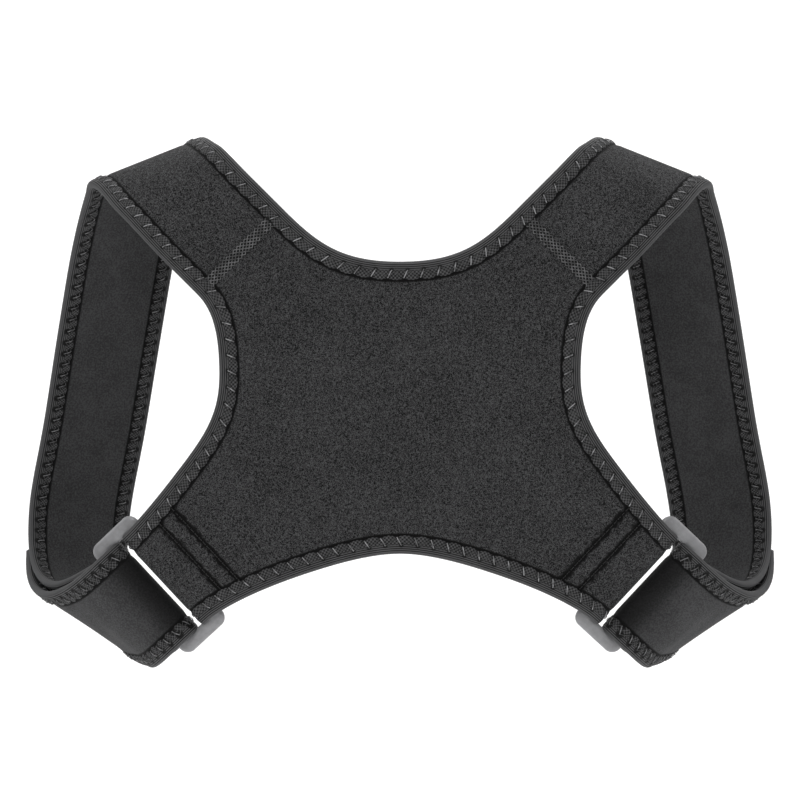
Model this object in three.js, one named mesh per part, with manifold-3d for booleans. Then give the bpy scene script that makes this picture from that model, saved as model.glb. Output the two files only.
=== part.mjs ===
// Posture corrector: a laminated foam back panel with two straps that go over the
// shoulders, under the arms, through a loop ring each, and fold back over themselves.
// It keeps the shape it has when worn. Millimetres, +Z up, the wearer faces +Y.
import * as THREE from 'three';
import { mergeVertices } from 'three/addons/utils/BufferGeometryUtils.js';
import Module from 'manifold-3d';

const wasm = await Module();
wasm.setup();

// Cloth
const FOAM = 2.6; // laminated foam wall of the panel and straps
const CROWN = 0.2; // how much thinner a strap is at its edges, on each face
const TAPE_WALL = 0.7; // elastic edge tape, one layer
const TAPE_REACH = 9.5; // how far the tape covers each face, from the finished edge
const CLEAR = 0.3; // gap kept between pieces
const STRAP_WIDTH = 63; // over the tape

// Back panel, heights measured from its narrowest line
const WAIST_HALF = 94; // half its width at the narrowest line
const NECK_UP = 59; // lowest point of the neck curve
const HEM_DOWN = 93; // highest point of the lower curve
const SEAM_OUT = 83; // middle of the seam between panel and strap
const SEAM_UP = 64;
const WING_ANGLE = 45; // the strap leaves the seam this steep, in degrees

// Tabs: the panel's lower corners, which fold round the rings
const TAB_OUT = 128; // middle of the gap between tab and strap
const TAB_DOWN = 111;
const TAB_ANGLE = 43; // steepness of the tab's middle line, in degrees
const TAB_BEND = 60; // the corner starts to curve forward this far from the gap
const TAB_RADIUS = 175; // radius of that forward curve
const TAB_FLAT_FROM = 22; // the return lies flat from here
const TAB_RETURN = 36; // length of the part that is sewn down behind
const TAB_SPREAD_UPPER = 6.4; // how much each side widens from the ring to the bend
const TAB_SPREAD_LOWER = 15.5;
const RING_GAP = 2.2; // light gap between the tab and the strap

// Rings
const BAR_WIDTH = 8.6; // the long bar under the strap
const TAB_BAR_WIDTH = 8.4; // the long bar in the tab's fold
const BAR_THICK = 3.4;
const END_WIDTH = 6; // the two short bars
const RING_SIDE_CLEAR = 0.6; // from the strap's edge to a short bar
const RING_TILT = 3; // the ring turns forward in its tab, in degrees
const RING_CORNER = 5;
const BAR_ROUNDING = 1.4;

// Straps
const SHOULDER_OUT = 135; // middle of the strap on top of the shoulder
const SHOULDER_UP = 115;
const CHEST_DEPTH = 116; // from the panel forward to the strap on the chest
const UNDERARM_DOWN = 132; // lowest point of the strap's middle line
const WING_RUN = 28; // straight run on the back, from the seam
const STRAP_SLACK = 2; // the strap goes round its bar this much wider than the tab does
const WRAP_LEAN = 5; // the strap comes up to the ring's bar at this angle, in degrees
const ENTRY_RUN = 14; // straight run before that bar
const FOLDED_LENGTH = 118; // the end that is folded back over the strap
const FOLDED_GAP = 4; // between strap and folded end, foam to foam, near the ring
const LEAVE_RUN = 43; // the folded end comes down onto the strap within this run
const SETTLE_FROM = 78; // and lies closer still between these two lengths
const SETTLE_TO = 108;
const PATCH_LENGTH = 34; // hook patch inside the folded end
const PATCH_MARGIN = 13; // from the strap's edge to the patch

// Shoulder saddle, where the part is held up: forward of the panel, under the straps
const SADDLE_FORWARD = 32;

const rad = THREE.MathUtils.degToRad;
const EDGE_INSET = TAPE_WALL + CLEAR; // from the finished edge to the foam
const TAPE_HALF = FOAM / 2 + CLEAR + TAPE_WALL; // half thickness over the tape
const STRAP_HALF = STRAP_WIDTH / 2;
const BAR_SWEEP = BAR_THICK / 2 + CLEAR + BAR_WIDTH * Math.sin(rad(RING_TILT)); // free radius
const TAB_WRAP = BAR_SWEEP + TAPE_HALF; // radius of the cloth's middle round each bar
const STRAP_WRAP = TAB_WRAP + STRAP_SLACK;
const TAB_CENTRE = RING_GAP / 2 + TAPE_HALF + TAB_WRAP; // from the gap to that turn's centre
const STRAP_CENTRE = RING_GAP / 2 + TAPE_HALF + STRAP_WRAP;
const UP = new THREE.Vector3(0, 0, 1);

// Sections of the strap's middle line between the seam and the ring.
// out: share of SHOULDER_OUT, forward: share of CHEST_DEPTH, height: share of the way
// up from the underarm to the shoulder; yaw and dip turn its width, in degrees
const STRAP_SECTIONS = [
  { name: 'rise', out: 0.902, forward: 0.09, height: 0.953, yaw: -2, dip: 28.5 },
  { name: 'crest', out: 1.0, forward: 0.275, height: 0.996, yaw: 2, dip: 22 },
  { name: 'over', out: 1.052, forward: 0.46, height: 0.97, yaw: 12, dip: 24 },
  { name: 'collar', out: 1.103, forward: 0.625, height: 0.9, yaw: 23, dip: 17 },
  { name: 'chest_top', out: 1.16, forward: 0.76, height: 0.783, yaw: 30, dip: 5 },
  { name: 'chest', out: 1.223, forward: 0.853, height: 0.613, yaw: 32, dip: -1 },
  { name: 'rib', out: 1.289, forward: 0.922, height: 0.417, yaw: 33, dip: -4 },
  { name: 'low_rib', out: 1.35, forward: 0.94, height: 0.24, yaw: 34, dip: -9 },
  { name: 'turn', out: 1.347, forward: 0.84, height: 0.11, yaw: 34, dip: -17 },
  { name: 'underarm', out: 1.297, forward: 0.665, height: 0.034, yaw: 32, dip: -27 },
  { name: 'lowest', out: 1.19, forward: 0.43, height: 0.004, yaw: 20, dip: -38 },
];
const STEPS_PER_SECTION = 3;
const BAR_STEPS = 6; // of the cloth round a bar

// Flat layout of the left side, as (x, z) in the panel's plane
const flat = (x, z) => new THREE.Vector2(x, z);
const SEAM = flat(-SEAM_OUT, SEAM_UP);
const WING_ALONG = flat(-Math.cos(rad(WING_ANGLE)), Math.sin(rad(WING_ANGLE)));
const WING_ACROSS = flat(Math.sin(rad(WING_ANGLE)), Math.cos(rad(WING_ANGLE)));
const GAP_MIDDLE = flat(-TAB_OUT, -TAB_DOWN);
const TAB_IN = flat(Math.cos(rad(TAB_ANGLE)), Math.sin(rad(TAB_ANGLE)));
const TAB_ACROSS = flat(Math.sin(rad(TAB_ANGLE)), -Math.cos(rad(TAB_ANGLE)));

// The tab is as wide as the strap at the ring and widens from there inwards
function tabSpread(run) {
  return Math.pow(Math.max(0, run - TAB_CENTRE) / (TAB_BEND - TAB_CENTRE), 1.5);
}
const tabUpper = (run) => -STRAP_HALF - TAB_SPREAD_UPPER * tabSpread(run);
const tabLower = (run) => STRAP_HALF + TAB_SPREAD_LOWER * tabSpread(run);

function tabPoint(run, across) {
  return GAP_MIDDLE.clone().addScaledVector(TAB_IN, run).addScaledVector(TAB_ACROSS, across);
}

// Places a flat point in space: the lower corners curve forward past their bend line
function drape(point, outward = 0) {
  const run = point.clone().sub(GAP_MIDDLE).dot(TAB_IN);
  const past = Math.max(0, TAB_BEND - run);
  const turn = past / TAB_RADIUS;
  const start = point.clone().addScaledVector(TAB_IN, past);
  const along = start.addScaledVector(TAB_IN, -TAB_RADIUS * Math.sin(turn));
  const forward = TAB_RADIUS * (1 - Math.cos(turn));
  const normal = new THREE.Vector3(-TAB_IN.x * Math.sin(turn), -Math.cos(turn), -TAB_IN.y * Math.sin(turn));
  return new THREE.Vector3(along.x, forward, along.y).addScaledVector(normal, outward);
}

// How far each curve's handles reach, as shares of its width or height
const NECK_HANDLES = { seam: 0.42, middle: 0.5 };
const ARM_HANDLES = { seam: 0.3, waistAbove: 0.45, waistBelow: 0.4, bend: 0.42 };
const HEM_HANDLES = { middle: 0.3, bend: 0.33 };

// The finished edges of the left half, each a list of flat points
function neckEdge() {
  const start = SEAM.clone().addScaledVector(WING_ACROSS, STRAP_HALF);
  const end = flat(0, NECK_UP);
  const leave = start.clone().addScaledVector(WING_ALONG, NECK_HANDLES.seam * start.x);
  const arrive = flat(NECK_HANDLES.middle * start.x, NECK_UP);
  return new THREE.CubicBezierCurve(start, leave, arrive, end).getPoints(12);
}

function armEdge() {
  const start = SEAM.clone().addScaledVector(WING_ACROSS, -STRAP_HALF);
  const waist = flat(-WAIST_HALF, 0);
  const bend = tabPoint(TAB_BEND, tabUpper(TAB_BEND));
  const beyond = tabPoint(TAB_BEND + 1, tabUpper(TAB_BEND + 1)).sub(bend);
  const leave = start.clone().addScaledVector(WING_ALONG, -ARM_HANDLES.seam * start.y);
  const above = flat(-WAIST_HALF, ARM_HANDLES.waistAbove * start.y);
  const below = flat(-WAIST_HALF, ARM_HANDLES.waistBelow * bend.y);
  const arrive = bend.clone().addScaledVector(beyond, -ARM_HANDLES.bend * bend.y);
  const upper = new THREE.CubicBezierCurve(start, leave, above, waist);
  const lower = new THREE.CubicBezierCurve(waist, below, arrive, bend);
  return [...upper.getPoints(8), ...lower.getPoints(8).slice(1)];
}

function hemEdge() {
  const start = flat(0, -HEM_DOWN);
  const end = tabPoint(TAB_BEND, tabLower(TAB_BEND));
  const beyond = tabPoint(TAB_BEND + 1, tabLower(TAB_BEND + 1)).sub(end);
  const leave = flat(HEM_HANDLES.middle * end.x, -HEM_DOWN);
  const arrive = end.clone().addScaledVector(beyond, -HEM_HANDLES.bend * end.x);
  return new THREE.CubicBezierCurve(start, leave, arrive, end).getPoints(9);
}

// Rows of the corner between its bend line and the ring, as runs from the gap
const CORNER_ROWS = 6;
const TONGUE_SHARE = 0.9; // width of the corner's end that joins into the flat middle
const CORNER_RUNS = Array.from({ length: CORNER_ROWS }, (_, i) =>
  THREE.MathUtils.lerp(TAB_BEND, TAB_CENTRE, (i + 1) / CORNER_ROWS));

// Ring frame: across along the bars, inward to the panel, outward to the viewer's side
const TAB_TURN = (TAB_BEND - TAB_CENTRE) / TAB_RADIUS;
const RING_ACROSS = new THREE.Vector3(TAB_ACROSS.x, 0, TAB_ACROSS.y);
const TAB_INWARD = new THREE.Vector3(
  TAB_IN.x * Math.cos(TAB_TURN), -Math.sin(TAB_TURN), TAB_IN.y * Math.cos(TAB_TURN));
const TAB_OUTWARD = new THREE.Vector3().crossVectors(RING_ACROSS, TAB_INWARD);
const TAB_BAR = drape(tabPoint(TAB_CENTRE, 0), -TAB_WRAP);
const RING_INWARD = TAB_INWARD.clone().applyAxisAngle(RING_ACROSS, -rad(RING_TILT));
const RING_OUTWARD = TAB_OUTWARD.clone().applyAxisAngle(RING_ACROSS, -rad(RING_TILT));
const STRAP_BAR = TAB_BAR.clone().addScaledVector(RING_INWARD, -(TAB_CENTRE + STRAP_CENTRE));
const RING_CENTRE = TAB_BAR.clone().add(STRAP_BAR).divideScalar(2);

// One frame of a sweep: a point, the direction across the cloth and its outward normal
const frame = (point, across, outward) => ({ point, across, outward });

// Cloth round a bar: angle 0 is on the body side, a half turn on the viewer's side;
// facing is 1 where the cloth's outer face looks away from the bar, and -1 towards it
function roundBar(centre, inward, outward, radius, angle, facing) {
  const away = inward.clone().multiplyScalar(Math.sin(angle)).addScaledVector(outward, -Math.cos(angle));
  const point = centre.clone().addScaledVector(away, radius);
  return frame(point, RING_ACROSS, away.multiplyScalar(facing));
}

// The tab's fold: from its outer face round the bar and back along the body side
function tabFrames() {
  const frames = [];
  for (let i = 0; i <= BAR_STEPS; i++) {
    const angle = Math.PI * (1 - i / BAR_STEPS);
    frames.push(roundBar(TAB_BAR, TAB_INWARD.clone().negate(), TAB_OUTWARD, TAB_WRAP, angle, 1));
  }
  const open = 2 * TAB_WRAP;
  const closed = 2 * TAPE_HALF + CLEAR;
  for (const [past, behind] of [[TAB_BAR_WIDTH, open], [TAB_FLAT_FROM, closed], [TAB_RETURN, closed]]) {
    const at = tabPoint(TAB_CENTRE + past, 0);
    const inside = drape(at).sub(drape(at, 1));
    frames.push(frame(drape(at, -behind), RING_ACROSS, inside));
  }
  return frames;
}

// Strap frames from the seam to the tip, and where the folded end begins
function strapFrames() {
  const lean = rad(WRAP_LEAN);
  const wrapStart = roundBar(STRAP_BAR, RING_INWARD, RING_OUTWARD, STRAP_WRAP, lean, -1);
  const approach = RING_INWARD.clone().applyAxisAngle(RING_ACROSS, lean);
  const entry = wrapStart.point.clone().addScaledVector(approach, -ENTRY_RUN);
  const wing = (run) => {
    const at = SEAM.clone().addScaledVector(WING_ALONG, run);
    return new THREE.Vector3(at.x, 0, at.y);
  };
  const wingAcross = new THREE.Vector3(WING_ACROSS.x, 0, WING_ACROSS.y);
  const lift = SHOULDER_UP + UNDERARM_DOWN;
  const centres = [wing(CLEAR), wing(WING_RUN / 2), wing(WING_RUN)];
  const widths = [wingAcross, wingAcross, wingAcross];
  for (const { out, forward, height, yaw, dip } of STRAP_SECTIONS) {
    const up = height * lift - UNDERARM_DOWN;
    const level = Math.cos(rad(dip));
    const width = [level * Math.cos(rad(yaw)), level * Math.sin(rad(yaw)), Math.sin(rad(dip))];
    centres.push(new THREE.Vector3(-out * SHOULDER_OUT, forward * CHEST_DEPTH, up));
    widths.push(new THREE.Vector3(...width));
  }
  centres.push(entry, wrapStart.point);
  widths.push(RING_ACROSS, RING_ACROSS);
  const middle = new THREE.CatmullRomCurve3(centres, false, 'catmullrom');
  const turning = new THREE.CatmullRomCurve3(widths, false, 'catmullrom');
  const steps = (centres.length - 1) * STEPS_PER_SECTION;
  const inner = [];
  for (let i = 0; i < steps; i++) {
    const share = i / steps;
    const along = middle.getTangent(share);
    const width = turning.getPoint(share).normalize();
    const slant = along.dot(width);
    const outward = new THREE.Vector3().crossVectors(width, along).normalize();
    inner.push(frame(middle.getPoint(share), width.divideScalar(Math.sqrt(1 - slant * slant)), outward));
  }
  const wrap = [];
  for (let i = 0; i <= BAR_STEPS; i++) {
    const angle = THREE.MathUtils.lerp(lean, Math.PI, i / BAR_STEPS);
    wrap.push(roundBar(STRAP_BAR, RING_INWARD, RING_OUTWARD, STRAP_WRAP, angle, -1));
  }
  return { inner, wrap, folded: foldedFrames(inner, wrap) };
}

// The folded end lies over the strap's outer face, further off near the ring
function foldedFrames(inner, wrap) {
  const last = wrap[wrap.length - 1];
  const closed = 2 * TAPE_HALF + CLEAR;
  const open = FOAM + FOLDED_GAP;
  const beside = last.point.clone().addScaledVector(RING_INWARD, -BAR_WIDTH);
  const frames = [frame(beside, RING_ACROSS, last.outward)];
  let length = BAR_WIDTH;
  let previous = beside;
  for (let i = inner.length - 1; i > 0 && length < FOLDED_LENGTH; i--) {
    const { point, across, outward } = inner[i];
    const fromBar = point.distanceTo(STRAP_BAR);
    if (fromBar < ENTRY_RUN + BAR_WIDTH) continue;
    const settle = THREE.MathUtils.smoothstep(length, SETTLE_FROM, SETTLE_TO);
    const leave = 1 - THREE.MathUtils.smoothstep(fromBar, BAR_WIDTH, LEAVE_RUN);
    const pitch = THREE.MathUtils.lerp(open, closed, settle) + leave * (2 * STRAP_WRAP - open);
    const place = point.clone().addScaledVector(outward, pitch);
    length += place.distanceTo(previous);
    previous = place;
    frames.push(frame(place, across, outward.clone().negate()));
  }
  return frames;
}

// A curve whose section frame is given at every step
class FramedPath extends THREE.Curve {
  constructor(frames) {
    super();
    this.frames = frames;
  }
  getSpacedPoints() {
    return this.frames.map(({ point }) => point);
  }
  computeFrenetFrames() {
    return {
      tangents: this.frames.map(() => UP),
      normals: this.frames.map(({ across }) => across),
      binormals: this.frames.map(({ outward }) => outward),
    };
  }
}

// Sweeps a section, drawn as (across, outward), along frames
function sweep(section, frames) {
  const [first, second] = frames;
  const facing = new THREE.Vector3().crossVectors(first.across, first.outward);
  const forward = facing.dot(second.point.clone().sub(first.point)) > 0;
  const ordered = forward ? frames : [...frames].reverse();
  const options = { steps: frames.length - 1, extrudePath: new FramedPath(ordered) };
  return new THREE.ExtrudeGeometry(section, options);
}

const polygon = (points) => new THREE.Shape(points.map(([across, outward]) => flat(across, outward)));

// A band's section, in columns so that it can follow a twist
function bandSection(halfWidth, near, far) {
  const columns = [-1, -0.66, -0.22, 0.22, 0.66, 1];
  const nearFace = columns.map((share) => [share * halfWidth, near + CROWN * share * share]);
  const farFace = columns.map((share) => [share * halfWidth, far - CROWN * share * share]);
  return polygon([...nearFace, ...farFace.reverse()]);
}

// The tape's channel: it folds over an edge at zero and reaches inwards on both faces
function tapeSection() {
  const inner = FOAM / 2 + CLEAR;
  return polygon([
    [TAPE_REACH, inner], [TAPE_REACH, TAPE_HALF], [0, TAPE_HALF],
    [0, -TAPE_HALF], [TAPE_REACH, -TAPE_HALF], [TAPE_REACH, -inner],
    [TAPE_WALL, -inner], [TAPE_WALL, inner],
  ]);
}

// Frames along an edge of the strap: its point, inwards, and the same outward normal
function edgeFrames(frames, side) {
  return frames.map(({ point, across, outward }) => {
    const edge = point.clone().addScaledVector(across, side * STRAP_HALF);
    return frame(edge, across.clone().multiplyScalar(-side), outward);
  });
}

// Directions into the panel at each point of a finished edge
function inwardNormals(points, inwardSide) {
  return points.map((point, i) => {
    const before = points[Math.max(0, i - 1)];
    const after = points[Math.min(points.length - 1, i + 1)];
    const along = after.clone().sub(before).normalize();
    return flat(-along.y, along.x).multiplyScalar(inwardSide);
  });
}

function panelEdgeFrames(points, inwardSide) {
  const inward = inwardNormals(points, inwardSide);
  return points.map((point, i) => {
    const place = drape(point);
    return frame(place, drape(point.clone().add(inward[i])).sub(place), drape(point, 1).sub(place));
  });
}

const mirrorVector = (vector) => new THREE.Vector3(-vector.x, vector.y, vector.z);

function mirrorFrames(frames) {
  return frames.map(({ point, across, outward }) =>
    frame(mirrorVector(point), mirrorVector(across), mirrorVector(outward)));
}

function toManifold(geometry) {
  geometry.deleteAttribute('normal');
  geometry.deleteAttribute('uv');
  const merged = mergeVertices(geometry, 1e-4);
  const vertProperties = merged.attributes.position.array;
  const triVerts = new Uint32Array(merged.index.array);
  return new wasm.Manifold(new wasm.Mesh({ numProp: 3, vertProperties, triVerts }));
}

function fromManifold(solid) {
  const mesh = solid.getMesh();
  const geometry = new THREE.BufferGeometry();
  geometry.setAttribute('position', new THREE.BufferAttribute(mesh.vertProperties, 3));
  geometry.setIndex(new THREE.BufferAttribute(mesh.triVerts, 1));
  const faceted = geometry.toNonIndexed();
  faceted.computeVertexNormals();
  return faceted;
}

// Moves an edge's points inwards, to where the foam ends under the tape
function insetPoints(points, inwardSide) {
  const inward = inwardNormals(points, inwardSide);
  return points.map((point, i) => point.clone().addScaledVector(inward[i], EDGE_INSET));
}

const STRAP = strapFrames();
const STRAP_FRAMES = [...STRAP.inner, ...STRAP.wrap, ...STRAP.folded];
const TAB_FRAMES = tabFrames();
const NECK_POINTS = neckEdge();
const ARM_POINTS = [...armEdge(), ...CORNER_RUNS.map((run) => tabPoint(run, tabUpper(run)))];
const HEM_POINTS = [...hemEdge(), ...CORNER_RUNS.map((run) => tabPoint(run, tabLower(run)))];

// Foam of the panel: a flat middle and two draped corners that fold round the rings
function panelSolid() {
  const neck = insetPoints(NECK_POINTS, -1);
  const arm = insetPoints(ARM_POINTS, 1);
  const hem = insetPoints(HEM_POINTS, -1);
  for (const end of [neck[0], arm[0]]) {
    end.addScaledVector(WING_ALONG, -end.clone().sub(SEAM).dot(WING_ALONG));
  }
  const left = [
    ...neck.slice(0, -1).reverse(),
    ...arm.slice(0, -CORNER_ROWS),
    ...hem.slice(1, -CORNER_ROWS).reverse(),
  ];
  const right = left.map((point) => flat(-point.x, point.y)).reverse();
  const outline = [neck[neck.length - 1], ...left, hem[0], ...right];
  const middle = new THREE.ExtrudeGeometry(new THREE.Shape(outline), { depth: FOAM, bevelEnabled: false });
  middle.translate(0, 0, -FOAM / 2).rotateX(Math.PI / 2);

  const rows = [];
  for (let i = CORNER_ROWS + 1; i > 1; i--) {
    const upper = drape(arm[arm.length - i]);
    const lower = drape(hem[hem.length - i]);
    const half = lower.clone().sub(upper).divideScalar(2);
    const axis = tabPoint(CORNER_RUNS[CORNER_ROWS - i] ?? TAB_BEND, 0);
    const outward = drape(axis, 1).sub(drape(axis));
    rows.push(frame(upper.add(half), half, outward));
  }
  const foamHalf = STRAP_HALF - EDGE_INSET;
  const fold = TAB_FRAMES.map(({ point, across, outward }) =>
    frame(point, across.clone().multiplyScalar(foamHalf), outward));
  const inside = rows[0].point.clone().add(new THREE.Vector3(TAB_IN.x, 0, TAB_IN.y).multiplyScalar(FOAM));
  const tongue = frame(inside, rows[0].across.clone().multiplyScalar(TONGUE_SHARE), rows[0].outward);
  const corner = [tongue, ...rows, ...fold];
  const section = polygon([[-1, -FOAM / 2], [1, -FOAM / 2], [1, FOAM / 2], [-1, FOAM / 2]]);
  return fromManifold(
    toManifold(middle)
      .add(toManifold(sweep(section, corner)))
      .add(toManifold(sweep(section, mirrorFrames(corner)))));
}

function ringSolid() {
  const halfLength = STRAP_HALF + RING_SIDE_CLEAR + END_WIDTH;
  const reach = (TAB_CENTRE + STRAP_CENTRE - BAR_THICK) / 2; // from the centre to a bar's edge
  const innerLength = halfLength - END_WIDTH;
  const shape = new THREE.Shape();
  roundedRectangle(shape, halfLength, -reach - BAR_WIDTH, reach + TAB_BAR_WIDTH, RING_CORNER);
  const window = roundedRectangle(new THREE.Path(), innerLength, -reach, reach, BAR_ROUNDING);
  shape.holes.push(window);
  const geometry = new THREE.ExtrudeGeometry(shape, {
    depth: BAR_THICK - 2 * BAR_ROUNDING, curveSegments: 5,
    bevelThickness: BAR_ROUNDING, bevelSize: BAR_ROUNDING, bevelOffset: -BAR_ROUNDING, bevelSegments: 3,
  });
  geometry.translate(0, 0, BAR_ROUNDING - BAR_THICK / 2);
  const turned = new THREE.Matrix4().makeBasis(RING_ACROSS, RING_INWARD, RING_OUTWARD);
  geometry.applyMatrix4(turned.setPosition(RING_CENTRE));
  return geometry;
}

function roundedRectangle(path, halfLength, low, high, radius) {
  path.moveTo(halfLength - radius, low);
  path.absarc(halfLength - radius, low + radius, radius, -Math.PI / 2, 0);
  path.absarc(halfLength - radius, high - radius, radius, 0, Math.PI / 2);
  path.absarc(radius - halfLength, high - radius, radius, Math.PI / 2, Math.PI);
  path.absarc(radius - halfLength, low + radius, radius, Math.PI, 1.5 * Math.PI);
  path.closePath();
  return path;
}

// The other side's piece: mirrored, with its faces turned to point out again
function mirrored(geometry) {
  const other = geometry.clone().applyMatrix4(new THREE.Matrix4().makeScale(-1, 1, 1));
  const position = other.attributes.position;
  const second = new THREE.Vector3();
  const third = new THREE.Vector3();
  for (let i = 0; i < position.count; i += 3) {
    second.fromBufferAttribute(position, i + 1);
    third.fromBufferAttribute(position, i + 2);
    position.setXYZ(i + 1, ...third);
    position.setXYZ(i + 2, ...second);
  }
  other.computeVertexNormals();
  return other;
}

// Tape along the neck curve and on over both straps' inner edges to their tips
function neckTapeFrames() {
  const strap = edgeFrames(STRAP_FRAMES, 1);
  const neck = panelEdgeFrames(NECK_POINTS, -1);
  const left = [...strap.reverse(), ...neck];
  return [...left, ...mirrorFrames(left.slice(0, -1)).reverse()];
}

// Tape from behind the tab, up the armhole and over the strap's outer edge to its tip
function armTapeFrames() {
  const tab = edgeFrames(TAB_FRAMES.slice(1), -1).reverse();
  const arm = panelEdgeFrames(ARM_POINTS, 1).reverse();
  return [...tab, ...arm, ...edgeFrames(STRAP_FRAMES, -1)];
}

// Tape along the lower curve, round both tabs
function hemTapeFrames() {
  const tab = edgeFrames(TAB_FRAMES.slice(1), 1).reverse();
  const hem = panelEdgeFrames(HEM_POINTS, -1).reverse();
  const left = [...tab, ...hem];
  return [...left, ...mirrorFrames(left.slice(0, -1)).reverse()];
}

// The patch lies on the folded end's inner face, up to its tip
function patchFrames() {
  const frames = [];
  let length = 0;
  for (let i = STRAP_FRAMES.length - 1; length < PATCH_LENGTH; i--) {
    frames.push(STRAP_FRAMES[i]);
    length += STRAP_FRAMES[i].point.distanceTo(STRAP_FRAMES[i - 1].point);
  }
  return frames;
}

function patchSection() {
  return bandSection(STRAP_HALF - PATCH_MARGIN, FOAM / 2 + CLEAR, 2 * TAPE_HALF - FOAM / 2);
}

const FLEECE = { color: 0x34353a, roughness: 0.95 };
const TAPE = { color: 0x48494e, roughness: 0.85 };
const PLASTIC = { color: 0x8a8c90, roughness: 0.45 };
const HOOK = { color: 0x222326, roughness: 0.9 };

const part = new THREE.Group();
part.position.set(0, -SADDLE_FORWARD, -SHOULDER_UP);

function addPiece(name, geometry, finish) {
  const mesh = new THREE.Mesh(geometry, new THREE.MeshStandardMaterial({ ...finish, metalness: 0 }));
  mesh.name = name;
  part.add(mesh);
}

const strapSection = bandSection(STRAP_HALF - EDGE_INSET, -FOAM / 2, FOAM / 2);
const sidePieces = [
  ['shoulder_strap', sweep(strapSection, STRAP_FRAMES), FLEECE],
  ['arm_binding', sweep(tapeSection(), armTapeFrames()), TAPE],
  ['ring', ringSolid(), PLASTIC],
  ['hook_patch', sweep(patchSection(), patchFrames()), HOOK],
];
addPiece('back_panel', panelSolid(), FLEECE);
addPiece('neck_binding', sweep(tapeSection(), neckTapeFrames()), TAPE);
addPiece('hem_binding', sweep(tapeSection(), hemTapeFrames()), TAPE);
for (const [name, geometry, finish] of sidePieces) {
  addPiece(`${name}_left`, geometry, finish);
  addPiece(`${name}_right`, mirrored(geometry), finish);
}

export default part;
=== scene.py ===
"""Posture corrector: foam panel, shoulder straps, edge tape, stitches and rings."""
from bisect import bisect_right
from math import cos, exp, pi, radians, sin, sqrt

import bmesh
import bpy
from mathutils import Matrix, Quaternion, Vector


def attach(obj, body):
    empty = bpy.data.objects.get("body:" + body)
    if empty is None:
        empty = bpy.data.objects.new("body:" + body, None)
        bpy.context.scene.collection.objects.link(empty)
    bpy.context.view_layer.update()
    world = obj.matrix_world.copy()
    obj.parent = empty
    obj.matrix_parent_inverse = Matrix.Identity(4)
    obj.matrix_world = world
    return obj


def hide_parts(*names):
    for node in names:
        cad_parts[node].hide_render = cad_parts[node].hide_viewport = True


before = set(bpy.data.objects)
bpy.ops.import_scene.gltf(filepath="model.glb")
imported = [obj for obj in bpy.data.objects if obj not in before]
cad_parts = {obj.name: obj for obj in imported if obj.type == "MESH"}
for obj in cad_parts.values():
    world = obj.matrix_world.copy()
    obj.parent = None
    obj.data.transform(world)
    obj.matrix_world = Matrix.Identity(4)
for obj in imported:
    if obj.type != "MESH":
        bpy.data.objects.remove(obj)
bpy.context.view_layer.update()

# Sizes in millimetres, in the panel's own frame: its plane is y = 0
FOAM = 2.6
TAPE_WALL = 0.7
TAPE_REACH = 9.5
CLEAR = 0.3
STRAP_WIDTH = 63.0
WAIST_HALF = 94.0
NECK_UP = 59.0
HEM_DOWN = 93.0
SEAM_OUT = 83.0
SEAM_UP = 64.0
WING_ANGLE = 45.0
TAB_OUT = 128.0
TAB_DOWN = 111.0
TAB_ANGLE = 43.0
TAB_BEND = 60.0
TAB_RADIUS = 175.0
TAB_FLAT_FROM = 22.0
TAB_RETURN = 36.0
TAB_SPREAD_UPPER = 6.4
TAB_SPREAD_LOWER = 15.5
RING_GAP = 2.2
BAR_WIDTH = 8.6
TAB_BAR_WIDTH = 8.4
BAR_THICK = 3.4
RING_TILT = 3.0
RING_SIDE_CLEAR = 0.6
RING_END = 6.0
RING_CORNER = 5.5
SHOULDER_OUT = 135.0
SHOULDER_UP = 115.0
CHEST_DEPTH = 116.0
UNDERARM_DOWN = 132.0
WING_RUN = 28.0
STRAP_SLACK = 2.0
WRAP_LEAN = 5.0
ENTRY_RUN = 14.0
FOLDED_LENGTH = 118.0
FOLDED_GAP = 4.0
LEAVE_RUN = 43.0
SETTLE_FROM = 78.0
SETTLE_TO = 108.0
SADDLE_FORWARD = 32.0

# How far the panel's edge curves keep their first direction, as shares of their run
NECK_HANDLES = (0.42, 0.5)
ARM_HANDLES = (0.3, 0.45, 0.4, 0.42)
HEM_HANDLES = (0.3, 0.33)
SPREAD_POWER = 1.5   # the tab widens slowly at first

# Looks of the cloth
PUFF = 0.55          # the foam stands this much over its wall inside the tape
PUFF_START = 0.4     # the rise begins this far under the tape
PUFF_RISE = 3.0      # and ends this far beyond it
TAPE_PUFF = 0.22     # the tape's swell between two stitches
TAPE_CLOTH = 0.55    # thickness of the tape's own cloth
SCALLOP = 0.35       # the tape's inner edge waves in and out by this much
HATCH_PITCH = 1.9    # the tape's diagonal weave
RIB_PITCH = 1.05     # and the ribs along its folded edge
BACK_STITCH = 8.0    # zigzag period on the panel and over the shoulders
FRONT_STITCH = 6.4   # and on the front of the straps
FRONT_FROM = 8.0     # which begins this far forward of the panel
ZIGZAG = (4.6, 8.7)  # the zigzag's two lines of holes, from the edge
SLOW_STROKE = 0.76   # share of a stitch that the thread's returning stroke takes
QUICK_THREAD = 0.28  # radius of the tight stroke's thread
SLOW_THREAD = 0.2    # and of the returning stroke's, which lies deeper
TAB_ROWS = (24.8, 35.2)  # rows of stitches behind the ring, from the gap
ROW_DEPTH = 1.1      # how deep and wide those rows press into the foam
ROW_HALF = 1.9
TIP_SINK = 1.9       # the folded end's tip presses into the strap
TIP_RUN = (22.0, 8.0)  # from the first to the second of these distances before its end
RING_GRIP = 1.6      # the ring's ends reach this much further in than its solid's, under the cloth
RING_ROUNDING = (0.7, 0.9)  # roundness of a bar's section, across and through; 1 is an ellipse
WINDOW_CORNER = 1.6  # corner radius of the ring's window
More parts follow.
